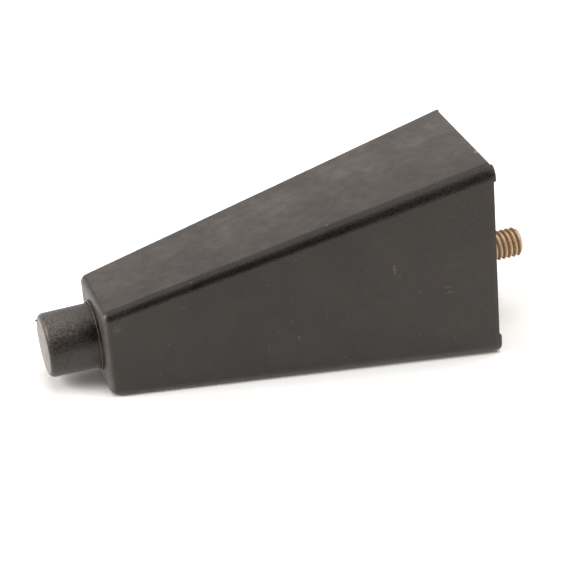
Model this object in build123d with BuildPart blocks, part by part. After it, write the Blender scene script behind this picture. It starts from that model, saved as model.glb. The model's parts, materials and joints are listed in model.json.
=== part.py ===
from build123d import *
import os
from math import cos, radians, sin, tan

# A moulded appliance leg with a screw-in foot at its narrow end and a threaded stud at its wide end.
# It lies on its back face: +X runs along it towards the stud, +Z is up, and y = 0 is its plane of symmetry.
# Sizes are in millimetres, and distances along the leg run from its narrow end.

# Foot
foot_diameter = 16.9
foot_draft = 0.7
foot_stand_out = 13.6
foot_guide_length = 14.0
foot_edge_round = 1.4
stem_diameter = 9.5
stem_length = 30.0
stem_chamfer = 0.8

# Foot's room to move, and its clearances in the leg
foot_travel_in = 8.0
foot_stop_gap = 1.0
foot_clearance = 0.15
stem_clearance = 0.06

# Leg body
body_length = 101.6
side_taper = 4.57
back_taper = 4.57
front_taper = 12.55
socket_side_wall = 4.25
socket_back_wall = 3.35
socket_front_wall = 2.65
narrow_corner_radius = 2.3
wide_corner_radius = 3.35
narrow_end_round = 2.0

# Lip round the mouth of the foot's socket
lip_height = 0.7
lip_width = 0.5
lip_edge_round = 0.2

# Hollow inside the leg body
wall = 3.0
web_thickness = 4.0
hollow_corner_radius = 1.5
rib_thickness = 2.4
rib_drop = 3.0
column_wall = 2.0
column_drop = 0.5

# Pads that stand proud of the rim at its four corners
pad_height = 0.8
pad_width = 2.4
front_pad_length = 4.0
back_pad_length = 5.6
pad_edge_round = 0.6

# Stud, with its hexagonal head and plain shank moulded into the column
stud_diameter = 7.94
shank_diameter = 7.05
thread_relief = 0.4
stud_stand_out = 14.5
stud_grip = 18.0
stud_chamfer = 0.9
head_across_flats = 12.7
head_height = 5.2

# Sizes that follow from those above
foot_radius = foot_diameter / 2
foot_end_radius = foot_radius - foot_stand_out * tan(radians(foot_draft))
stem_radius = stem_diameter / 2
socket_radius = foot_radius + foot_clearance
socket_depth = foot_guide_length + foot_travel_in + foot_stop_gap
stem_bore_radius = stem_radius + stem_clearance
stem_bore_end = foot_guide_length + stem_length + foot_travel_in + foot_stop_gap
narrow_side = socket_radius + socket_side_wall
narrow_back = socket_radius + socket_back_wall
narrow_front = socket_radius + socket_front_wall
side_slope = tan(radians(side_taper))
back_slope = tan(radians(back_taper))
front_slope = tan(radians(front_taper))
socket_thin_wall = min(socket_side_wall, socket_back_wall, socket_front_wall)
end_round = min(narrow_end_round, 0.9 * narrow_corner_radius, 0.75 * socket_thin_wall)
lip_radius = socket_radius + min(lip_width, 0.2 * socket_thin_wall)
lip_round = min(lip_edge_round, 0.4 * (lip_radius - socket_radius))
pad_top = body_length + pad_height
hollow_floor = socket_depth + web_thickness
column_top = body_length - column_drop
rib_top = body_length - rib_drop
stud_radius = stud_diameter / 2
shank_radius = shank_diameter / 2
thread_start = column_top + thread_relief
stud_tip = body_length + stud_stand_out
head_top = column_top - stud_grip
head_bottom = head_top - head_height
column_radius = head_across_flats / 2 / cos(radians(30)) + column_wall

# The leg's axis: it rises by the back's taper, so that the back face lies flat on z = 0,
# and it starts where the whole leg is centred on the origin.
tilt_cos = cos(radians(back_taper))
tilt_sin = sin(radians(back_taper))
foot_reach = (
    (foot_stand_out - foot_edge_round) * tilt_cos
    + (foot_end_radius - foot_edge_round) * tilt_sin
    + foot_edge_round
)
stud_reach = stud_tip * tilt_cos + (stud_radius - stud_chamfer) * tilt_sin
leg_axis = Plane(
    origin=((foot_reach - stud_reach) / 2, 0, narrow_back * tilt_cos),
    x_dir=(0, 1, 0),
    z_dir=(tilt_cos, 0, tilt_sin),
)
along_leg = Axis(leg_axis.origin, leg_axis.z_dir)
foot_profile = Plane(leg_axis.origin, x_dir=leg_axis.y_dir, z_dir=-leg_axis.x_dir)


def side_at(along):
    """Distance from the axis to each side face."""
    return narrow_side + along * side_slope


def back_at(along):
    """Distance from the axis to the back face."""
    return narrow_back + along * back_slope


def front_at(along):
    """Distance from the axis to the front face."""
    return narrow_front + along * front_slope


def leg_section(along, inset, corner_radius):
    """Rounded section of the leg, drawn in from its outer faces by inset."""
    height = front_at(along) + back_at(along) - 2 * inset
    with BuildSketch(leg_axis.offset(along)) as section:
        with Locations((0, (front_at(along) - back_at(along)) / 2)):
            RectangleRounded(2 * (side_at(along) - inset), height, corner_radius)
    return section.sketch


# Leg body: a tapered shell that is open at its wide end, with a column and four ribs inside
with BuildPart() as leg_body:
    outer_sections = [
        leg_section(0, 0, narrow_corner_radius),
        leg_section(pad_top, 0, wide_corner_radius),
    ]
    loft(outer_sections, ruled=True)
    narrow_face = leg_body.faces().sort_by(along_leg)[0]
    fillet(narrow_face.edges(), radius=end_round)

    # Hollow, open at the wide end
    hollow_sections = [
        leg_section(hollow_floor, wall, hollow_corner_radius),
        leg_section(pad_top, wall, hollow_corner_radius),
    ]
    loft(hollow_sections, ruled=True, mode=Mode.SUBTRACT)

    # Rim, cut back between its corner pads
    with BuildSketch(leg_axis.offset(body_length)):
        rim_front = front_at(body_length) - front_pad_length
        rim_back = back_at(body_length) - back_pad_length
        rim_width = 2 * side_at(body_length)
        Rectangle(rim_width - 2 * pad_width, 4 * front_at(body_length))
        with Locations((0, (rim_front - rim_back) / 2)):
            Rectangle(2 * rim_width, rim_front + rim_back)
    extrude(amount=pad_height, mode=Mode.SUBTRACT)
    pad_faces = leg_body.faces().filter_by(along_leg).sort_by(along_leg)[-4:]
    fillet(pad_faces.edges(), radius=min(pad_edge_round, 0.75 * pad_height, 0.25 * pad_width))

    # Ribs between the column and the four walls, cut to the hollow's shape
    rib_sections = [
        leg_section(hollow_floor, wall / 2, hollow_corner_radius),
        leg_section(rib_top, wall / 2, hollow_corner_radius),
    ]
    rib_room = loft(rib_sections, ruled=True, mode=Mode.PRIVATE)
    with BuildSketch(leg_axis.offset(hollow_floor)):
        Rectangle(rib_thickness, 4 * front_at(pad_top))
        Rectangle(4 * side_at(pad_top), rib_thickness)
    rib_cross = extrude(amount=rib_top - hollow_floor, mode=Mode.PRIVATE)
    add(rib_cross & rib_room)

    # Column on the axis, which holds the stem and the stud
    with BuildSketch(leg_axis.offset(hollow_floor)):
        Circle(column_radius)
    extrude(amount=column_top - hollow_floor)

    # Socket and threaded bore for the foot, with a lip round the socket's mouth
    with BuildSketch(leg_axis):
        Circle(lip_radius)
    extrude(amount=-lip_height)
    with BuildSketch(leg_axis.offset(-lip_height)):
        Circle(socket_radius)
    extrude(amount=socket_depth + lip_height, mode=Mode.SUBTRACT)
    lip_face = leg_body.faces().filter_by(along_leg).sort_by(along_leg)[0]
    fillet(lip_face.edges(), radius=lip_round)
    with BuildSketch(leg_axis):
        Circle(stem_bore_radius)
    extrude(amount=stem_bore_end, mode=Mode.SUBTRACT)

    # Seat of the stud and of its head
    with BuildSketch(leg_axis.offset(head_bottom)):
        RegularPolygon(head_across_flats / 2, 6, major_radius=False)
    extrude(amount=head_height, mode=Mode.SUBTRACT)
    with BuildSketch(leg_axis.offset(head_top)):
        Circle(shank_radius)
    extrude(amount=stud_grip, mode=Mode.SUBTRACT)

# Stud: a hexagonal head and a shank in the column, and a rod with a chamfered tip outside it
with BuildPart() as mounting_stud:
    with BuildSketch(leg_axis.offset(head_bottom)):
        RegularPolygon(head_across_flats / 2, 6, major_radius=False)
    extrude(amount=head_height)
    with BuildSketch(leg_axis.offset(head_top)):
        Circle(shank_radius)
    extrude(amount=thread_start - head_top)
    with BuildSketch(leg_axis.offset(thread_start)):
        Circle(stud_radius)
    extrude(amount=stud_tip - thread_start)
    stud_end = mounting_stud.faces().sort_by(along_leg)[-1]
    chamfer(stud_end.edges(), length=stud_chamfer)

# Foot: a round foot with a slight draft outside the leg, a straight guide inside it and a stem
with BuildPart() as adjustable_foot:
    with BuildSketch(foot_profile):
        with BuildLine():
            Polyline(
                (0, foot_stand_out),
                (foot_end_radius, foot_stand_out),
                (foot_radius, 0),
                (foot_radius, -foot_guide_length),
                (stem_radius, -foot_guide_length),
                (stem_radius, -foot_guide_length - stem_length),
                (0, -foot_guide_length - stem_length),
                close=True,
            )
        make_face()
    revolve(axis=along_leg)
    foot_ends = adjustable_foot.faces().filter_by(along_leg).sort_by(along_leg)
    fillet(foot_ends[0].edges(), radius=foot_edge_round)
    chamfer(foot_ends[-1].edges(), length=stem_chamfer)

leg_body.part.label = "leg_body"
mounting_stud.part.label = "mounting_stud"
adjustable_foot.part.label = "adjustable_foot"

os.makedirs("parts", exist_ok=True)
export_step(leg_body.part, "parts/leg_body.step")
export_step(mounting_stud.part, "parts/mounting_stud.step")
export_step(adjustable_foot.part, "parts/adjustable_foot.step")
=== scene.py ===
"""Looks of a black moulded appliance leg, with its adjustable foot and its threaded stud.

The leg lies on its back face, as on a table. Sizes are in metres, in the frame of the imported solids.
"""

import json
import logging
import math
from dataclasses import dataclass
from enum import Enum
from typing import Optional, Sequence, Union

import bmesh
import bpy
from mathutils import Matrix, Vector


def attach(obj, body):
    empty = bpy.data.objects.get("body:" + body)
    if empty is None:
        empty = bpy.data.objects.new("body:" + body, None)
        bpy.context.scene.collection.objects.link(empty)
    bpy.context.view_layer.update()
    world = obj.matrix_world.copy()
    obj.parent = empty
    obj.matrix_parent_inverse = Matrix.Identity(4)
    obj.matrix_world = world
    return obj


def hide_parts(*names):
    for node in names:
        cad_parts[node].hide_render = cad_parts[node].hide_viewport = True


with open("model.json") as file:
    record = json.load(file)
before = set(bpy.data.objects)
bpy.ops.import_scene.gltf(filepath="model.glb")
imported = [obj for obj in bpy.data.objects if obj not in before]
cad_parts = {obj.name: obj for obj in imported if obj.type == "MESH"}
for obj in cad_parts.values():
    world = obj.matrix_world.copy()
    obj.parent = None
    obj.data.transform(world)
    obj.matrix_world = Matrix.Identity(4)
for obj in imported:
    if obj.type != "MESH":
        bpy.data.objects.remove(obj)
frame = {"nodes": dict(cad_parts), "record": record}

MM = 0.001
LOG = logging.getLogger("appliance_leg")

Pair = tuple[float, float]
Triple = tuple[float, float, float]
Colour = tuple[float, float, float]
Socket = bpy.types.NodeSocket
Value = Union[Socket, float, Sequence[float]]

WHITE: Colour = (1.0, 1.0, 1.0)

# Directions in the coordinates that the finishes use
LENGTHWAYS = Vector((1.0, 0.0, 0.0))
SIDEWAYS = Vector((0.0, 1.0, 0.0))
UPWARDS = Vector((0.0, 0.0, 1.0))


class Body(Enum):
    """The bodies that pieces ride on."""

    LEG = "leg"
    FOOT = "foot"


class Slot(Enum):
    """The record's material slots."""

    LEG_PLASTIC = "leg_plastic"
    FOOT_PLASTIC = "foot_plastic"
    PASSIVATED_STEEL = "passivated_steel"


@dataclass(frozen=True)
class LegAxis:
    """The line through the foot and the stud, and the directions square to it.

    Distances along it run from the leg's narrow end towards its stud.
    """

    start: Vector
    along: Vector
    up: Vector
    side: Vector

    @classmethod
    def from_record(cls, record: dict, foot_stand_out: float) -> "LegAxis":
        """Reads the axis from the mount on the foot's sole.

        Args:
            record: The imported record.
            foot_stand_out: How far the sole stands out of the leg's narrow end.

        Returns:
            The leg's axis.
        """
        sole = next(mount for mount in record["mounts"] if mount["name"] == "foot_sole")
        along = -Vector(sole["axis"]).normalized()
        side = Vector((0.0, 1.0, 0.0))
        start = Vector(sole["pos_m"]) + along * foot_stand_out
        return cls(start, along, along.cross(side), side)

    def point(self, side: float, up: float, along: float) -> Vector:
        """Returns the point at these distances from the axis and along it."""
        return self.start + self.side * side + self.up * up + self.along * along

    def on_circle(self, radius: float, angle: float, along: float) -> Vector:
        """Returns the point on a circle round the axis, at an angle from sideways to upwards."""
        return self.point(radius * math.cos(angle), radius * math.sin(angle), along)


class ShaderGraph:
    """A node tree, with short calls for the nodes that the finishes use."""

    MIX_COLOUR_INPUTS = (6, 7)
    MIX_COLOUR_OUTPUT = 2
    SPECK_CORE = 0.4

    def __init__(self, tree: bpy.types.NodeTree) -> None:
        """Empties the tree, so that it holds only what is added here."""
        self.tree = tree
        tree.nodes.clear()

    def node(self, kind: str, **settings: object) -> bpy.types.Node:
        """Adds a node.

        Args:
            kind: The node's type.
            settings: Values of the node's own properties.

        Returns:
            The new node.
        """
        made = self.tree.nodes.new(kind)
        for name, value in settings.items():
            setattr(made, name, value)
        return made

    def feed(self, socket: Socket, value: Value) -> None:
        """Links a socket to another one, or sets its value.

        Args:
            socket: The socket that is fed.
            value: The socket that it is linked to, or its new value.
        """
        if isinstance(value, bpy.types.NodeSocket):
            self.tree.links.new(value, socket)
        else:
            socket.default_value = value

    def feed_named(self, fed: bpy.types.Node, values: dict[str, Value]) -> None:
        """Feeds a node's inputs by their names."""
        for name, value in values.items():
            self.feed(fed.inputs[name], value)

    def math(self, operation: str, *values: Value, clamp: bool = False) -> Socket:
        """Adds a Math node.

        Args:
            operation: What it does.
            values: What it does it with.
            clamp: Whether the result is kept between 0 and 1.

        Returns:
            The result.
        """
        made = self.node("ShaderNodeMath", operation=operation, use_clamp=clamp)
        for socket, value in zip(made.inputs, values):
            self.feed(socket, value)
        return made.outputs[0]

    def vector_math(self, operation: str, *values: Value) -> bpy.types.Node:
        """Adds a Vector Math node.

        Args:
            operation: What it does.
            values: What it does it with.

        Returns:
            The node, whose result is a vector or a value.
        """
        made = self.node("ShaderNodeVectorMath", operation=operation)
        for socket, value in zip(made.inputs, values):
            self.feed(socket, value)
        return made

    def dot(self, vector: Value, direction: Value) -> Socket:
        """Returns the dot product of two vectors."""
        return self.vector_math("DOT_PRODUCT", vector, direction).outputs["Value"]

    def step(
        self,
        value: Value,
        low: float,
        high: float,
        to_low: float = 0.0,
        to_high: float = 1.0,
    ) -> Socket:
        """Maps a range smoothly onto another one.

        Args:
            value: What is mapped.
            low: Where the map starts.
            high: Where the map ends.
            to_low: The result at the start and before it.
            to_high: The result at the end and past it.

        Returns:
            The mapped value.
        """
        made = self.node("ShaderNodeMapRange", interpolation_type="SMOOTHSTEP")
        self.feed_named(made, {"Value": value, "From Min": low, "From Max": high})
        self.feed_named(made, {"To Min": to_low, "To Max": to_high})
        return made.outputs["Result"]

    def noise(self, coords: Value, scale: float, detail: float = 2.0, roughness: float = 0.5) -> Socket:
        """Adds a noise.

        Args:
            coords: The coordinates.
            scale: Features to each unit of the coordinates.
            detail: How many finer noises are added to it.
            roughness: How strong the finer ones are.

        Returns:
            A value between about 0 and 1.
        """
        made = self.node("ShaderNodeTexNoise")
        self.feed_named(made, {"Vector": coords, "Scale": scale, "Detail": detail, "Roughness": roughness})
        return made.outputs["Fac"]

    def stretched(self, coords: Value, scale: Sequence[float]) -> Socket:
        """Returns the coordinates scaled by axis, for noise that runs in streaks."""
        return self.vector_math("MULTIPLY", coords, scale).outputs["Vector"]

    def specks(self, coords: Value, scale: float, size: float, share: float) -> Socket:
        """Makes a mask of scattered dots of different strengths.

        Args:
            coords: The coordinates, in millimetres.
            scale: Cells to each millimetre, of which each may hold a dot.
            size: A dot's radius, as a share of its cell.
            share: The share of the cells that hold a dot.

        Returns:
            Up to 1 on a dot and 0 off it.
        """
        cells = self.node("ShaderNodeTexVoronoi", feature="F1")
        self.feed_named(cells, {"Vector": coords, "Scale": scale})
        near = self.step(cells.outputs["Distance"], size * self.SPECK_CORE, size, 1.0, 0.0)
        pick = self.node("ShaderNodeSeparateColor")
        self.feed(pick.inputs["Color"], cells.outputs["Color"])
        chosen = self.math("GREATER_THAN", pick.outputs["Red"], 1.0 - share)
        weight = self.math("MULTIPLY", chosen, pick.outputs["Green"])
        return self.math("MULTIPLY", near, weight)

    def mix(self, factor: Value, first: Value, second: Value) -> Socket:
        """Mixes two colours.

        Args:
            factor: The second colour's share.
            first: The first colour.
            second: The second colour.

        Returns:
            The mixed colour.
        """
        made = self.node("ShaderNodeMix", data_type="RGBA")
        self.feed(made.inputs["Factor"], factor)
        for place, colour in zip(self.MIX_COLOUR_INPUTS, (first, second)):
            self.feed(made.inputs[place], colour)
        return made.outputs[self.MIX_COLOUR_OUTPUT]

    def bump(self, height: Value, depth: float) -> Socket:
        """Bumps the surface's normal.

        Args:
            height: The height at each point.
            depth: How high a height of 1 stands.

        Returns:
            The bumped normal.
        """
        made = self.node("ShaderNodeBump")
        self.feed_named(made, {"Strength": 1.0, "Distance": depth, "Height": height})
        return made.outputs["Normal"]

    def leg_coords(self, axis: LegAxis) -> Socket:
        """Makes coordinates that follow the leg.

        Args:
            axis: The leg's axis.

        Returns:
            Millimetres along the leg, across it and up from its axis.
        """
        place = self.node("ShaderNodeTexCoord").outputs["Object"]
        offset = self.vector_math("SUBTRACT", place, axis.start).outputs["Vector"]
        joined = self.node("ShaderNodeCombineXYZ")
        for socket, direction in zip(joined.inputs, (axis.along, axis.side, axis.up)):
            self.feed(socket, self.dot(offset, direction / MM))
        return joined.outputs["Vector"]

    def seen_directly(self, rays: bpy.types.Node) -> Socket:
        """Returns 1 for the viewer's own rays and 0 for all others."""
        return self.math("MAXIMUM", rays.outputs["Is Camera Ray"], rays.outputs["Is Transmission Ray"])

    def show(self, surface: Socket, output: str = "ShaderNodeOutputMaterial") -> None:
        """Links a shader to a new output node."""
        self.feed(self.node(output).inputs["Surface"], surface)


def new_material(name: str) -> tuple[bpy.types.Material, ShaderGraph]:
    """Makes an empty material.

    Args:
        name: Its name.

    Returns:
        The material and its graph.
    """
    made = bpy.data.materials.new(name)
    made.use_nodes = True
    return made, ShaderGraph(made.node_tree)


def rgba(colour: Colour) -> tuple[float, float, float, float]:
    """Returns an opaque colour."""
    return (*colour, 1.0)


def grey(level: float) -> tuple[float, float, float, float]:
    """Returns an opaque grey."""
    return rgba((level, level, level))


class Face(Enum):
    """The faces that carry single marks."""

    NEAR_SIDE = "near side"
    FRONT = "front"


@dataclass(frozen=True)
class Mark:
    """A pale mark on a face, in millimetres from the leg's narrow end and across the face from its axis.

    A mark that doesn't lean has its length across the face.
    """

    face: Face
    along: float
    across: float
    half_length: float
    half_width: float
    lean_deg: float
    strength: float
    least_facing: float = 0.8
    break_scale: float = 2.2
    break_span: Pair = (0.35, 0.65)


@dataclass(frozen=True)
class RubAndPaintedLight:
    """A face made pale by its outward normal: rubbed pale by handling, and on some faces with painted light
    as well.

    The face's half width, in millimetres, starts at the leg's narrow end and grows along it. The paling is
    strongest at its centre, a share of that half width. It fades over its reach, and stops at the face's near
    edge, in shares of the half width too. Scales are in features to each millimetre.
    """

    normal: Vector
    strength: float
    centre: float = 0.0
    half_width: float = 100.0
    growth: float = 0.0
    stretch: Triple = (1.0, 1.0, 1.0)
    least_facing: float = 0.9
    full_facing: float = 0.995
    reach: float = 1.2
    faded: float = 0.65
    near_edge: Pair = (-0.84, -0.79)
    streak_scale: float = 0.42
    streak_span: Pair = (0.3, 0.75)
    streak_levels: Pair = (0.6, 1.1)
    patch_scale: float = 0.09
    patch_span: Pair = (0.3, 0.7)
    patch_levels: Pair = (0.75, 1.0)


@dataclass(frozen=True)
class StainAndShade:
    """A dark patch that the wear has spared, in millimetres along the leg, across it and up from its axis.
    Real dark marks and painted shade both use it.

    The distance from its centre, in reaches, is broken up by a noise, and its edge lies between two values of
    the sum.
    """

    centre: Triple
    reach: Triple
    strength: float
    break_scale: float = 2.6
    raggedness: float = 2.2
    edge: Pair = (1.4, 2.1)


@dataclass(frozen=True)
class EndWearAndHighlight:
    """Wear that fades along the leg, between the millimetres where it is full and where it is gone. On the
    rim it is a painted highlight as well.

    It lies on the high parts of the grain. Wear that settles lies mostly on what faces the direction that it
    settles on.
    """

    full_at: float
    gone_at: float
    strength: float
    settles_on: Optional[Vector] = None
    grain_span: Pair = (0.15, 0.7)
    rise_span: Pair = (0.15, 0.6)
    share_on_steep: float = 0.12


@dataclass(frozen=True)
class MouldedPlastic:
    """Black plastic from a finely grained mould, with dust, rubbed places, painted light and painted shade on
    it.

    Scales are in features to each millimetre. The grain's contrast is how far it darkens and lightens the
    plastic. The pale layer holds what rubbing and wear leave and painted light; a thin haze of it lies
    everywhere.
    """

    name: str
    base: Colour
    film_and_light: Colour
    dust: Colour
    roughness: float
    grain_scale: float
    grain_depth: float
    grain_contrast: float
    gloss_tint: Colour = (1.0, 0.91, 0.84)
    refraction: float = 1.6
    grain_span: Pair = (0.36, 0.64)
    haze: float = 0.12
    haze_scale: float = 0.09
    haze_span: Pair = (0.35, 0.75)
    film_and_light_cover: float = 0.35
    dust_cover: float = 0.18
    grain_in_roughness: float = 0.16
    film_in_roughness: float = 0.08

    def material(
        self,
        axis: LegAxis,
        rubs_and_light: Sequence[RubAndPaintedLight],
        marks: Sequence[Mark] = (),
        wears_and_highlights: Sequence[EndWearAndHighlight] = (),
        stains_and_shade: Sequence[StainAndShade] = (),
    ) -> bpy.types.Material:
        """Makes the finish.

        Args:
            axis: The leg's axis, which the marks are placed by.
            rubs_and_light: The faces that are rubbed pale, some with painted light as well.
            marks: Single pale marks.
            wears_and_highlights: Wear that fades along the leg, on the rim with a painted highlight too.
            stains_and_shade: Dark patches in the wear, real ones and painted shade.

        Returns:
            The material.
        """
        made, graph = new_material(self.name)
        coords = graph.leg_coords(axis)
        normal = graph.node("ShaderNodeNewGeometry").outputs["Normal"]
        grain = graph.noise(coords, self.grain_scale, detail=3.0, roughness=0.6)

        haze = graph.noise(coords, self.haze_scale, detail=3.0)
        film_and_light = graph.step(haze, *self.haze_span, 0.0, self.haze)
        # The pale faces add wear and painted light, and the dark patches take it away again, as real marks
        # and as painted shade
        for rub_and_light in rubs_and_light:
            film_and_light = graph.math("ADD", film_and_light, self.rub_and_light_mask(graph, coords, normal, rub_and_light))
        for wear in wears_and_highlights:
            film_and_light = graph.math("ADD", film_and_light, self.wear_and_highlight_mask(graph, coords, normal, grain, wear))
        for stain in stains_and_shade:
            film_and_light = graph.math("MULTIPLY", film_and_light, self.spared_and_shaded_share(graph, coords, stain))
        dust = self.dust_mask(graph, coords)

        dark = tuple(part * (1.0 - self.grain_contrast) for part in self.base)
        light = tuple(part * (1.0 + self.grain_contrast) for part in self.base)
        grained = graph.mix(graph.step(grain, *self.grain_span), rgba(dark), rgba(light))
        covered = graph.math("MULTIPLY", film_and_light, self.film_and_light_cover, clamp=True)
        colour = graph.mix(covered, grained, rgba(self.film_and_light))
        colour = graph.mix(graph.math("MULTIPLY", dust, self.dust_cover), colour, rgba(self.dust))
        for mark in marks:
            colour = graph.mix(self.mark_mask(graph, coords, normal, axis, mark), colour, rgba(self.dust))

        smoothest = self.roughness - self.grain_in_roughness / 2.0
        rough = graph.math("ADD", graph.math("MULTIPLY", grain, self.grain_in_roughness), smoothest)
        filmed = graph.math("MULTIPLY", film_and_light, self.film_in_roughness)
        rough = graph.math("ADD", rough, filmed, clamp=True)

        shader = graph.node("ShaderNodeBsdfPrincipled")
        graph.feed_named(shader, {"Base Color": colour, "Roughness": rough, "IOR": self.refraction})
        graph.feed(shader.inputs["Specular Tint"], rgba(self.gloss_tint))
        graph.feed(shader.inputs["Normal"], graph.bump(grain, self.grain_depth))
        graph.show(shader.outputs["BSDF"])
        return made

    @staticmethod
    def dust_mask(graph: ShaderGraph, coords: Socket) -> Socket:
        """Makes the mask of the dust, which lies in many small specks and a few larger ones.

        Args:
            graph: The material's graph.
            coords: The leg's coordinates.

        Returns:
            How dusty each point is.
        """
        many = graph.specks(coords, scale=0.5, size=0.17, share=0.2)
        few = graph.specks(coords, scale=0.16, size=0.06, share=0.3)
        return graph.math("ADD", many, few, clamp=True)

    @staticmethod
    def wear_and_highlight_mask(graph: ShaderGraph, coords: Socket, normal: Socket, grain: Socket, wear: EndWearAndHighlight) -> Socket:
        """Makes the mask of wear that fades along the leg, which on the rim is a painted highlight as well.

        Args:
            graph: The material's graph.
            coords: The leg's coordinates.
            normal: The surface's normal.
            grain: The plastic's grain.
            wear: The wear, on the rim with a painted highlight.

        Returns:
            How worn each point is.
        """
        along = graph.dot(coords, LENGTHWAYS)
        fade = graph.step(along, wear.full_at, wear.gone_at, wear.strength, 0.0)
        if wear.settles_on is not None:
            rise = graph.dot(normal, wear.settles_on)
            settled = graph.step(rise, *wear.rise_span, wear.share_on_steep, 1.0)
            fade = graph.math("MULTIPLY", fade, settled)
        return graph.math("MULTIPLY", fade, graph.step(grain, *wear.grain_span))

    @staticmethod
    def spared_and_shaded_share(graph: ShaderGraph, coords: Socket, stain: StainAndShade) -> Socket:
        """Makes the share of the wear that a dark patch leaves, broken up towards its edge. The patches are
        real stain marks and painted shade.

        Args:
            graph: The material's graph.
            coords: The leg's coordinates.
            stain: The dark patch; real stain marks and painted shade both come here.

        Returns:
            1 away from the patch and less in it.
        """
        offset = graph.vector_math("SUBTRACT", coords, stain.centre).outputs["Vector"]
        scaled = graph.vector_math("DIVIDE", offset, stain.reach)
        distance = graph.vector_math("LENGTH", scaled.outputs["Vector"]).outputs["Value"]
        noise = graph.noise(coords, stain.break_scale, detail=3.0, roughness=0.6)
        ragged = graph.math("ADD", distance, graph.math("MULTIPLY", noise, stain.raggedness))
        return graph.step(ragged, *stain.edge, 1.0 - stain.strength, 1.0)

    @staticmethod
    def rub_and_light_mask(graph: ShaderGraph, coords: Socket, normal: Socket, rub_and_light: RubAndPaintedLight) -> Socket:
        """Makes the mask of one pale face, in streaks and patches; its paleness is rubbing, and on some faces
        painted light.

        Args:
            graph: The material's graph.
            coords: The leg's coordinates.
            normal: The surface's normal.
            rub_and_light: The pale face.

        Returns:
            How pale the face is, 0 away from it.
        """
        turned = graph.dot(normal, rub_and_light.normal)
        facing = graph.step(turned, rub_and_light.least_facing, rub_and_light.full_facing, 0.0, rub_and_light.strength)
        stretched = graph.stretched(coords, rub_and_light.stretch)
        streaks = graph.noise(stretched, rub_and_light.streak_scale, detail=5.0, roughness=0.6)
        patches = graph.step(graph.noise(coords, rub_and_light.patch_scale), *rub_and_light.patch_span, *rub_and_light.patch_levels)
        half_width = graph.math("ADD", graph.dot(coords, LENGTHWAYS * rub_and_light.growth), rub_and_light.half_width)
        share = graph.math("DIVIDE", graph.dot(coords, SIDEWAYS), half_width)
        off_centre = graph.math("ABSOLUTE", graph.math("SUBTRACT", share, rub_and_light.centre))
        band = graph.step(off_centre, 0.0, rub_and_light.reach, 1.0, rub_and_light.faded)
        inside = graph.step(share, *rub_and_light.near_edge)
        streaked = graph.step(streaks, *rub_and_light.streak_span, *rub_and_light.streak_levels)
        rubbed = graph.math("MULTIPLY", streaked, patches)
        placed = graph.math("MULTIPLY", band, inside)
        return graph.math("MULTIPLY", graph.math("MULTIPLY", rubbed, placed), facing)

    @staticmethod
    def mark_mask(graph: ShaderGraph, coords: Socket, normal: Socket, axis: LegAxis, mark: Mark) -> Socket:
        """Makes the mask of one mark.

        Args:
            graph: The material's graph.
            coords: The leg's coordinates.
            normal: The surface's normal.
            axis: The leg's axis.
            mark: The mark.

        Returns:
            The mark's strength, 0 away from it.
        """
        outward, across = -axis.side, UPWARDS
        if mark.face is Face.FRONT:
            outward, across = axis.up, SIDEWAYS
        lean = math.radians(mark.lean_deg)
        long_way = LENGTHWAYS * math.sin(lean) + across * math.cos(lean)
        short_way = LENGTHWAYS * math.cos(lean) - across * math.sin(lean)
        centre = LENGTHWAYS * mark.along + across * mark.across
        offset = graph.vector_math("SUBTRACT", coords, centre).outputs["Vector"]
        length = graph.dot(offset, long_way / mark.half_length)
        width = graph.dot(offset, short_way / mark.half_width)
        squares = (graph.math("MULTIPLY", length, length), graph.math("MULTIPLY", width, width))
        spot = graph.step(graph.math("ADD", *squares), 0.0, 1.0, mark.strength, 0.0)
        noise = graph.noise(coords, mark.break_scale, detail=4.0, roughness=0.65)
        broken = graph.step(noise, *mark.break_span)
        facing = graph.math("GREATER_THAN", graph.dot(normal, outward), mark.least_facing)
        return graph.math("MULTIPLY", graph.math("MULTIPLY", spot, broken), facing)


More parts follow.
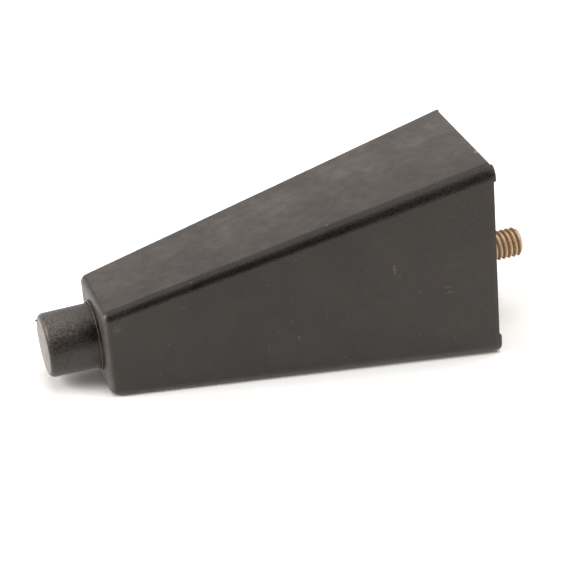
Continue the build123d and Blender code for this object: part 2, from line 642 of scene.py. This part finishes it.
@dataclass(frozen=True)
class PassivatedSteel:
    """Yellow-passivated steel: brown crests on the thread, flanks darkened by painted shade and roots
    brightened by a painted highlight.

    The places where the roots' painted highlight and the painted shade on the flanks end are shares of the
    thread's height, each from full to gone.
    """

    name: str = Slot.PASSIVATED_STEEL.value
    crest: Colour = (1.0, 0.67, 0.395)
    stain: Colour = (0.36, 0.19, 0.091)
    # The roots' colour is a painted highlight, and the flanks' colour is painted shade
    root: Colour = (1.0, 0.85, 0.67)
    flank_shade: Colour = (0.22, 0.112, 0.053)
    flank_shade_share: float = 0.6
    root_highlight_ends: Pair = (0.05, 0.27)
    flank_shade_ends: Pair = (0.4, 0.85)
    stain_scale: float = 3.0
    stain_span: Pair = (0.24, 0.76)
    metallic: float = 0.4
    roughness_span: Pair = (0.2, 0.8)
    roughness_levels: Pair = (0.36, 0.55)
    pit_scale: float = 6.0
    pit_depth: float = 0.02 * MM
    crest_attribute: str = "crest"

    def material(self, axis: LegAxis) -> bpy.types.Material:
        """Makes the finish, which reads how high on the thread each point is.

        Args:
            axis: The leg's axis.

        Returns:
            The material.
        """
        made, graph = new_material(self.name)
        coords = graph.leg_coords(axis)
        height = graph.node("ShaderNodeAttribute", attribute_name=self.crest_attribute).outputs["Fac"]
        stain = graph.noise(coords, self.stain_scale, detail=3.0, roughness=0.6)
        speckled = graph.mix(graph.step(stain, *self.stain_span), rgba(self.crest), rgba(self.stain))
        # Painted shade on the flanks, then a painted highlight in the roots
        on_flank_shade = graph.step(height, *self.flank_shade_ends, self.flank_shade_share, 0.0)
        dull = graph.mix(on_flank_shade, speckled, rgba(self.flank_shade))
        colour = graph.mix(graph.step(height, *self.root_highlight_ends), rgba(self.root), dull)
        rough = graph.step(stain, *self.roughness_span, *self.roughness_levels)
        pitted = graph.bump(graph.noise(coords, self.pit_scale), self.pit_depth)
        shader = graph.node("ShaderNodeBsdfPrincipled")
        graph.feed_named(shader, {"Base Color": colour, "Metallic": self.metallic})
        graph.feed_named(shader, {"Roughness": rough, "Normal": pitted})
        graph.show(shader.outputs["BSDF"])
        return made


def add_piece(
    name: str,
    mesh: bmesh.types.BMesh,
    material: bpy.types.Material,
    smooth_deg: float = 35.0,
) -> bpy.types.Object:
    """Turns a mesh into a shown piece.

    Args:
        name: The piece's name.
        mesh: Its mesh, which is freed.
        material: Its finish.
        smooth_deg: Edges sharper than this angle stay sharp.

    Returns:
        The new object.
    """
    bmesh.ops.recalc_face_normals(mesh, faces=mesh.faces)
    data = bpy.data.meshes.new(name)
    mesh.to_mesh(data)
    mesh.free()
    data.materials.append(material)
    data.polygons.foreach_set("use_smooth", [True] * len(data.polygons))
    data.set_sharp_from_angle(angle=math.radians(smooth_deg))
    piece = bpy.data.objects.new(name, data)
    bpy.context.scene.collection.objects.link(piece)
    return piece


def lathe(mesh: bmesh.types.BMesh, axis: LegAxis, profile: Sequence[Pair], segments: int) -> None:
    """Turns a profile round the leg's axis into a closed skin.

    Args:
        mesh: The mesh that it is added to.
        axis: The leg's axis.
        profile: Pairs of radius and distance along the axis, with a radius of 0 first and last.
        segments: Points round each circle.
    """
    rings = []
    for radius, along in profile:
        count = 1 if radius == 0.0 else segments
        angles = [2.0 * math.pi * index / segments for index in range(count)]
        rings.append([mesh.verts.new(axis.on_circle(radius, angle, along)) for angle in angles])
    for lower, upper in zip(rings, rings[1:]):
        for index in range(segments):
            after = index + 1
            corners = [lower[index % len(lower)], lower[after % len(lower)]]
            corners += [upper[after % len(upper)], upper[index % len(upper)]]
            mesh.faces.new(list(dict.fromkeys(corners)))


def rod_profile(radius: float, start: float, end: float) -> list[Pair]:
    """Returns the outline of a plain rod, as radius and distance along the axis."""
    return [(0.0, start), (radius, start), (radius, end), (0.0, end)]


def rounded_corner(centre: Pair, radius: float, start_deg: float, end_deg: float, count: int) -> list[Pair]:
    """Makes an arc of a profile.

    Args:
        centre: The arc's centre, as radius and distance along the axis.
        radius: The arc's own radius.
        start_deg: The first point's angle, counted from outwards towards the stud.
        end_deg: The last point's angle.
        count: How many points.

    Returns:
        The points, both ends among them.
    """
    points = []
    for index in range(count):
        angle = math.radians(start_deg + (end_deg - start_deg) * index / (count - 1))
        points.append((centre[0] + radius * math.cos(angle), centre[1] + radius * math.sin(angle)))
    return points


@dataclass
class LegBody:
    """The tapered moulding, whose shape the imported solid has."""

    axis: LegAxis
    length: float = 101.6 * MM
    narrow_half_width: float = 12.85 * MM
    side_growth: float = math.tan(math.radians(4.57))
    front_slope_deg: float = 12.55
    # How far in from the rim the edge is lightened, by wear and by a painted highlight
    rim_wear_and_highlight: float = 1.6 * MM
    node: str = "leg_body"

    def finish(self) -> MouldedPlastic:
        """Returns the body's plastic."""
        return MouldedPlastic(
            name=Slot.LEG_PLASTIC.value,
            base=(0.0088, 0.0078, 0.007),
            film_and_light=(0.245, 0.207, 0.186),
            dust=(0.4, 0.37, 0.34),
            roughness=0.29,
            grain_scale=2.4,
            grain_depth=0.09 * MM,
            grain_contrast=0.45,
        )

    def rubs_and_light(self) -> list[RubAndPaintedLight]:
        """Lists the pale faces: the front, rubbed in streaks along the leg, and the narrow end, which is
        rubbed and carries painted light that reaches onto its rounded edges.

        Returns:
            The pale faces.
        """
        slope = math.radians(self.front_slope_deg)
        front = RubAndPaintedLight(
            normal=self.axis.up * math.cos(slope) - self.axis.along * math.sin(slope),
            strength=1.1,
            centre=0.6,
            half_width=self.narrow_half_width / MM,
            growth=self.side_growth,
            stretch=(0.8, 1.0, 1.0),
            least_facing=0.97,
        )
        # The narrow end is pale partly from rubbing and partly from painted light from the left, also on its
        # rounded edges
        return [front, RubAndPaintedLight(-self.axis.along, strength=1.45, least_facing=0.25)]

    def marks(self) -> list[Mark]:
        """Lists the single marks: smears and scratches on the near side, and two nicks on the front.

        Returns:
            The marks.
        """
        # Along the leg, across the face, half length, half width, lean and strength
        near_side = (
            (74.7, 10.2, 2.0, 0.55, 3.0, 0.3),
            (88.6, 2.4, 0.35, 1.3, 0.0, 0.24),
            (88.9, 0.9, 0.35, 1.0, 0.0, 0.26),
            (89.6, 8.4, 0.4, 1.7, 0.0, 0.08),
            (40.9, -5.6, 1.7, 0.35, 0.0, 0.14),
            (48.9, -4.3, 0.6, 0.5, 0.0, 0.3),
            (47.5, 0.7, 1.6, 0.3, 40.0, 0.1),
            (56.5, 0.5, 3.2, 0.3, 2.0, 0.07),
            (20.2, 10.1, 0.4, 0.9, 0.0, 0.16),
            (3.2, 7.4, 1.8, 1.3, 20.0, 0.12),
            (12.7, -7.3, 1.2, 0.3, 0.0, 0.14),
            (70.3, 5.6, 0.5, 0.4, 0.0, 0.14),
            (72.4, 0.8, 0.6, 0.4, 0.0, 0.12),
            (89.5, 22.6, 0.35, 1.8, 10.0, 0.1),
            (49.6, 18.0, 0.4, 0.5, 0.0, 0.14),
            (60.3, -12.5, 0.4, 0.6, 0.0, 0.12),
            (24.0, -1.0, 1.8, 0.25, 0.0, 0.1),
        )
        front = (
            (59.0, -14.2, 0.5, 0.5, 0.0, 0.5),
            (101.2, -10.3, 0.9, 0.5, 0.0, 0.8),
        )
        marks = [Mark(Face.NEAR_SIDE, *sizes) for sizes in near_side]
        return marks + [Mark(Face.FRONT, *sizes) for sizes in front]

    def wears_and_highlights(self) -> list[EndWearAndHighlight]:
        """Lists the wear: towards the wide end, at the narrow end and on the rim, where a painted highlight
        lightens the edge as well.

        Returns:
            The wear.
        """
        length = self.length / MM
        return [
            EndWearAndHighlight(full_at=length, gone_at=0.4 * length, strength=0.2),
            EndWearAndHighlight(full_at=0.0, gone_at=0.3 * length, strength=0.07),
            # Wear and a painted highlight along the rim's edge
            EndWearAndHighlight(full_at=length, gone_at=length - self.rim_wear_and_highlight / MM, strength=0.3),
        ]

    def dress(self) -> bpy.types.Object:
        """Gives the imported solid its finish.

        Returns:
            The dressed solid.
        """
        body = frame["nodes"][self.node]
        material = self.finish().material(self.axis, self.rubs_and_light(), self.marks(), self.wears_and_highlights())
        for slot in body.material_slots:
            slot.link = "OBJECT"
            slot.material = material
        return body


@dataclass
class AdjustableFoot:
    """The round foot: a sole with a rounded edge, a drafted side, a guide in the leg and a stem."""

    axis: LegAxis
    radius: float = 8.45 * MM
    draft_deg: float = 0.7
    stand_out: float = 13.6 * MM
    edge_round: float = 1.4 * MM
    guide_length: float = 14.0 * MM
    stem_radius: float = 4.75 * MM
    stem_length: float = 30.0 * MM
    stem_chamfer: float = 0.8 * MM
    nib_height: float = 0.45 * MM
    nib_radius: float = 0.28 * MM
    nib_turn_deg: float = 43.0
    wear_end: float = 8.0 * MM
    segments: int = 160
    round_points: int = 12
    node: str = "adjustable_foot"

    def finish(self) -> MouldedPlastic:
        """Returns the foot's plastic."""
        return MouldedPlastic(
            name=Slot.FOOT_PLASTIC.value,
            base=(0.0082, 0.0072, 0.0064),
            # The pale layer's colour, for wear and for the painted light on the sole
            film_and_light=(0.64, 0.565, 0.51),
            dust=(0.35, 0.32, 0.3),
            roughness=0.33,
            grain_scale=2.0,
            grain_depth=0.1 * MM,
            grain_contrast=0.8,
        )

    def profile(self) -> list[Pair]:
        """Draws the foot's outline.

        Returns:
            Its points, as radius and distance along the axis.
        """
        end_radius = self.radius - self.stand_out * math.tan(math.radians(self.draft_deg))
        centre = (end_radius - self.edge_round, -self.stand_out + self.edge_round)
        stem_end = self.guide_length + self.stem_length
        outline = [(0.0, -self.stand_out), (0.5 * centre[0], -self.stand_out)]
        outline += rounded_corner(centre, self.edge_round, -90.0, -self.draft_deg, self.round_points)
        outline += [
            (self.radius, 0.0),
            (self.radius, self.guide_length),
            (self.stem_radius, self.guide_length),
            (self.stem_radius, stem_end - self.stem_chamfer),
            (self.stem_radius - self.stem_chamfer, stem_end),
            (0.0, stem_end),
        ]
        return outline

    def stains_and_shade(self) -> list[StainAndShade]:
        """Lists the dark patches: painted shade by the leg and along the side towards the sole, and two real
        dark marks on the sole.

        Returns:
            The dark patches.
        """
        sole = -self.stand_out / MM
        return [
            # Painted shade on the foot's side, darkest where the foot meets the leg
            StainAndShade(centre=(-0.5, -7.0, 4.6), reach=(5.5, 5.0, 4.4), strength=1.0),
            StainAndShade(centre=(-7.0, -7.5, 3.8), reach=(7.0, 4.0, 2.8), strength=0.5),
            # Real dark marks on the sole
            StainAndShade(centre=(sole, -0.4, 2.1), reach=(1.0, 1.0, 1.8), strength=0.4),
            StainAndShade(centre=(sole, -2.8, -1.9), reach=(1.0, 0.9, 1.9), strength=0.45),
        ]

    def add_nib(self, mesh: bmesh.types.BMesh) -> None:
        """Adds the nib that the mould left at the edge of the sole.

        Args:
            mesh: The foot's mesh.
        """
        turn = math.radians(self.nib_turn_deg)
        base = self.axis.on_circle(self.radius - self.edge_round, turn, -self.stand_out)
        own_axis = LegAxis(base, self.axis.along, self.axis.up, self.axis.side)
        outline = [
            (0.0, -self.nib_height),
            (0.5 * self.nib_radius, -0.9 * self.nib_height),
            (0.9 * self.nib_radius, -0.4 * self.nib_height),
            (self.nib_radius, self.nib_height),
            (0.0, self.nib_height),
        ]
        lathe(mesh, own_axis, outline, self.round_points)

    def build(self) -> bpy.types.Object:
        """Makes the foot.

        Returns:
            The foot.
        """
        mesh = bmesh.new()
        lathe(mesh, self.axis, self.profile(), self.segments)
        self.add_nib(mesh)
        # The sole is pale partly from wear and partly from painted light from the left
        sole = RubAndPaintedLight(-self.axis.along, strength=1.95)
        side = EndWearAndHighlight(-self.stand_out / MM, self.wear_end / MM, strength=0.5, settles_on=self.axis.up)
        material = self.finish().material(self.axis, [sole], wears_and_highlights=[side], stains_and_shade=self.stains_and_shade())
        piece = add_piece("foot", mesh, material)
        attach(piece, Body.FOOT.value)
        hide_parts(self.node)
        return piece


@dataclass
class MountingStud:
    """The stud: a hexagonal head and a shank inside the leg, and a right-hand thread outside it.

    The thread's flanks stand at 60 degrees. The halves of its crest and its root are shares of its pitch.
    """

    axis: LegAxis
    body_length: float = LegBody.length
    stand_out: float = 14.5 * MM
    column_drop: float = 0.5 * MM
    thread_relief: float = 0.4 * MM
    grip: float = 18.0 * MM
    major_radius: float = 3.97 * MM
    shank_radius: float = 3.525 * MM
    pitch: float = 25.4 / 18.0 * MM
    depth_to_pitch: float = 0.6134
    crest_half: float = 0.09
    root_half: float = 0.1
    thread_turn: float = 0.2
    turns_before: int = 2
    turns_after: int = 1
    chamfer: float = 0.9 * MM
    head_across_flats: float = 12.7 * MM
    head_height: float = 5.2 * MM
    head_sides: int = 6
    tip_dullness: float = 0.2
    tip_margin: float = 0.01 * MM
    weld_distance: float = 0.001 * MM
    cut_tolerance: float = 0.0005 * MM
    smooth_deg: float = 50.0
    segments: int = 96
    rows_to_a_pitch: int = 16
    node: str = "mounting_stud"

    @property
    def thread_depth(self) -> float:
        """The thread's depth."""
        return self.depth_to_pitch * self.pitch

    @property
    def thread_start(self) -> float:
        """Where the thread starts along the axis."""
        return self.body_length - self.column_drop + self.thread_relief

    @property
    def tip(self) -> float:
        """Where the stud ends along the axis."""
        return self.body_length + self.stand_out

    def crest_share(self, phase: float) -> float:
        """Tells how high the thread stands.

        Args:
            phase: The place across one turn of the thread, from 0 to 1.

        Returns:
            0 in the root and 1 on the crest.
        """
        off_crest = min(phase, 1.0 - phase)
        share = (0.5 - self.root_half - off_crest) / (0.5 - self.root_half - self.crest_half)
        return max(0.0, min(1.0, share))

    def build_thread(self, mesh: bmesh.types.BMesh) -> None:
        """Adds the threaded stretch, cut square at both ends.

        Args:
            mesh: The mesh that it is added to.
        """
        turns = math.ceil((self.tip - self.thread_start) / self.pitch) + self.turns_before + self.turns_after
        grid = []
        for row in range(turns * self.rows_to_a_pitch + 1):
            share = self.crest_share(row % self.rows_to_a_pitch / self.rows_to_a_pitch)
            full_radius = self.major_radius - self.thread_depth * (1.0 - share)
            ring = []
            for index in range(self.segments + 1):
                turn = index / self.segments
                pitches = row / self.rows_to_a_pitch - self.turns_before + self.thread_turn + turn
                along = self.thread_start + pitches * self.pitch
                tip_radius = self.major_radius - self.chamfer + max(0.0, self.tip - along)
                place = self.axis.on_circle(min(full_radius, tip_radius), 2.0 * math.pi * turn, along)
                ring.append(mesh.verts.new(place))
            grid.append(ring)
        for lower, upper in zip(grid, grid[1:]):
            for index in range(self.segments):
                mesh.faces.new((lower[index], lower[index + 1], upper[index + 1], upper[index]))
        bmesh.ops.remove_doubles(mesh, verts=mesh.verts, dist=self.weld_distance)
        self.cut_square(mesh, self.thread_start, -self.axis.along)
        self.cut_square(mesh, self.tip, self.axis.along)

    def cut_square(self, mesh: bmesh.types.BMesh, place: float, outward: Vector) -> None:
        """Cuts the thread off square to the axis and closes it.

        Args:
            mesh: The thread's mesh.
            place: Where it is cut along the axis.
            outward: The direction of what is cut away.
        """
        cut = bmesh.ops.bisect_plane(
            mesh,
            geom=mesh.verts[:] + mesh.edges[:] + mesh.faces[:],
            dist=self.cut_tolerance,
            plane_co=self.axis.point(0.0, 0.0, place),
            plane_no=outward,
            clear_outer=True,
        )
        edges = [item for item in cut["geom_cut"] if isinstance(item, bmesh.types.BMEdge)]
        bmesh.ops.edgeloop_fill(mesh, edges=edges)

    def build_inner(self, mesh: bmesh.types.BMesh) -> None:
        """Adds the shank and the head that are moulded into the leg.

        Args:
            mesh: The mesh that they are added to.
        """
        head_top = self.body_length - self.column_drop - self.grip
        head_radius = self.head_across_flats / 2.0 / math.cos(math.pi / self.head_sides)
        shank = rod_profile(self.shank_radius, head_top, self.thread_start)
        head = rod_profile(head_radius, head_top - self.head_height, head_top)
        lathe(mesh, self.axis, shank, self.segments)
        lathe(mesh, self.axis, head, self.head_sides)

    def mark_crests(self, piece: bpy.types.Object, attribute: str) -> None:
        """Stores how high on the thread each point is, for the finish.

        Args:
            piece: The stud.
            attribute: The name that the heights are stored by.
        """
        layer = piece.data.attributes.new(attribute, "FLOAT", "POINT")
        root_radius = self.major_radius - self.thread_depth
        for vertex, item in zip(piece.data.vertices, layer.data):
            offset = vertex.co - self.axis.start
            along = offset.dot(self.axis.along)
            radius = (offset - self.axis.along * along).length
            least = self.tip_dullness if along > self.tip - self.tip_margin else 0.0
            item.value = max(least, min(1.0, (radius - root_radius) / self.thread_depth))

    def build(self) -> bpy.types.Object:
        """Makes the stud.

        Returns:
            The stud.
        """
        finish = PassivatedSteel()
        mesh = bmesh.new()
        self.build_thread(mesh)
        self.build_inner(mesh)
        piece = add_piece("stud", mesh, finish.material(self.axis), self.smooth_deg)
        self.mark_crests(piece, finish.crest_attribute)
        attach(piece, Body.LEG.value)
        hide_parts(self.node)
        return piece


def aim_at(placed: bpy.types.Object, place: Triple, aim: Triple) -> None:
    """Places a lamp or a camera and turns it towards a point.

    Args:
        placed: The lamp or the camera.
        place: Where it stands.
        aim: What it points at.
    """
    placed.location = place
    placed.rotation_euler = (Vector(aim) - Vector(place)).to_track_quat("-Z", "Y").to_euler()
    bpy.context.scene.collection.objects.link(placed)


@dataclass(frozen=True)
class SoftBox:
    """A soft lamp: where it hangs, what it points at, its width and its power in watts."""

    name: str
    place: Triple
    aim: Triple
    width: float
    watts: float
    seen_in_gloss: bool = False

    def hang(self) -> None:
        """Makes the lamp."""
        data = bpy.data.lights.new(self.name, "AREA")
        data.shape = "SQUARE"
        data.size = self.width
        data.energy = self.watts
        lamp = bpy.data.objects.new(self.name, data)
        lamp.visible_glossy = self.seen_in_gloss
        aim_at(lamp, self.place, self.aim)


@dataclass
class Studio:
    """A white table with a white backdrop, soft lamps and the camera.

    Glossy surfaces see a table, a backdrop and a room of their own brightness. The lit side is a direction,
    and the room is dark on the side away from it.
    """

    camera_place: Triple = (-0.16061, -0.50231, 0.28816)
    camera_aim: Triple = (0.002548, 0.006525, 0.013613)
    camera_range: Pair = (0.01, 20.0)
    focal_px: float = 2287.4
    image_px: float = 576.0
    sensor: float = 36.0
    table_half_width: float = 2.5
    table_front: float = 0.34
    table_back: float = 3.0
    table_colour: Colour = (0.84, 0.835, 0.82)
    table_in_gloss: float = 0.65
    table_glow_in_gloss: float = 0.36
    table_shown: float = 1.33
    lit_side: Triple = (0.4, 1.0, 0.0)
    lit_span: Pair = (-0.65, 0.1)
    dark_in_gloss: float = 0.02
    backdrop_side: Triple = (0.0, 1.0, 0.0)
    backdrop_span: Pair = (0.3, 0.75)
    backdrop_in_gloss: float = 0.62
    room_light: float = 0.39
    room_tint: Colour = (1.0, 0.93, 0.86)

    def table_material(self) -> bpy.types.Material:
        """Makes the table's finish, which shows white to the viewer and in gloss but keeps its shadows.

        Returns:
            The material.
        """
        made, graph = new_material("table_top")
        rays = graph.node("ShaderNodeLightPath")
        glossy = rays.outputs["Is Glossy Ray"]
        shown = graph.seen_directly(rays)
        colour = graph.mix(glossy, rgba(self.table_colour), grey(self.table_in_gloss))
        surface = graph.node("ShaderNodeBsdfDiffuse")
        graph.feed(surface.inputs["Color"], graph.mix(shown, colour, grey(self.table_shown)))
        glow = graph.node("ShaderNodeEmission")
        graph.feed(glow.inputs["Strength"], graph.math("MULTIPLY", glossy, self.table_glow_in_gloss))
        both = graph.node("ShaderNodeAddShader")
        graph.feed(both.inputs[0], surface.outputs["BSDF"])
        graph.feed(both.inputs[1], glow.outputs["Emission"])
        graph.show(both.outputs["Shader"])
        return made

    def build_table(self) -> None:
        """Makes the table top."""
        mesh = bmesh.new()
        right, front, back = self.table_half_width, -self.table_front, self.table_back
        corners = ((-right, front), (right, front), (right, back), (-right, back))
        mesh.faces.new([mesh.verts.new((x, y, 0.0)) for x, y in corners])
        data = bpy.data.meshes.new("table_top")
        mesh.to_mesh(data)
        mesh.free()
        data.materials.append(self.table_material())
        floor = bpy.data.objects.new("table_top", data)
        bpy.context.scene.collection.objects.link(floor)

    def light_world(self) -> None:
        """Makes the surroundings: a white backdrop behind, a bright ceiling and a dark room in front."""
        world = bpy.data.worlds.new("studio")
        world.use_nodes = True
        bpy.context.scene.world = world
        graph = ShaderGraph(world.node_tree)
        direction = graph.node("ShaderNodeTexCoord").outputs["Generated"]
        to_lit_side = graph.dot(direction, self.lit_side)
        lit = graph.step(to_lit_side, *self.lit_span, self.dark_in_gloss, 1.0)
        to_backdrop = graph.dot(direction, self.backdrop_side)
        behind = graph.step(to_backdrop, *self.backdrop_span, 1.0, self.backdrop_in_gloss)
        rays = graph.node("ShaderNodeLightPath")
        glossy = rays.outputs["Is Glossy Ray"]
        in_gloss = graph.math("MULTIPLY", glossy, graph.math("MULTIPLY", lit, behind))
        matte = graph.math("MULTIPLY", graph.math("SUBTRACT", 1.0, glossy), self.room_light)
        strength = graph.math("MAXIMUM", graph.seen_directly(rays), graph.math("ADD", in_gloss, matte))
        colour = graph.mix(rays.outputs["Is Diffuse Ray"], rgba(WHITE), rgba(self.room_tint))
        backdrop = graph.node("ShaderNodeBackground")
        graph.feed_named(backdrop, {"Strength": strength, "Color": colour})
        graph.show(backdrop.outputs["Background"], "ShaderNodeOutputWorld")

    def hang_lamps(self) -> None:
        """Hangs a broad lamp above the table, one as strong to the left and a weaker one to the right."""
        lamps = (
            SoftBox("top", (0.08, -0.12, 1.0), (0.0, 0.0, 0.0), width=0.8, watts=4.8),
            SoftBox("left", (-0.8, 0.05, 0.5), (-0.03, 0.0, 0.02), width=0.5, watts=4.8, seen_in_gloss=True),
            SoftBox("right", (0.9, 0.2, 0.5), (0.03, 0.0, 0.02), width=1.1, watts=3.1),
        )
        for lamp in lamps:
            lamp.hang()

    def place_camera(self) -> None:
        """Sets up the camera at the photograph's viewpoint."""
        data = bpy.data.cameras.new("viewpoint")
        data.sensor_width = self.sensor
        data.lens = self.focal_px / self.image_px * self.sensor
        data.clip_start, data.clip_end = self.camera_range
        camera = bpy.data.objects.new("viewpoint", data)
        aim_at(camera, self.camera_place, self.camera_aim)
        bpy.context.scene.camera = camera

    def set_up(self) -> None:
        """Builds the whole studio."""
        self.build_table()
        self.light_world()
        self.hang_lamps()
        self.place_camera()
        bpy.context.scene.view_settings.view_transform = "Standard"


def main() -> None:
    """Builds the pieces in order and reports each one."""
    logging.basicConfig(level=logging.INFO, format="%(name)s: %(message)s")
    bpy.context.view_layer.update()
    axis = LegAxis.from_record(frame["record"], AdjustableFoot.stand_out)
    pieces = (LegBody(axis).dress(), AdjustableFoot(axis).build(), MountingStud(axis).build())
    for piece in pieces:
        LOG.info("%s has %d faces", piece.name, len(piece.data.polygons))
    Studio().set_up()


if __name__ == "__main__":
    main()
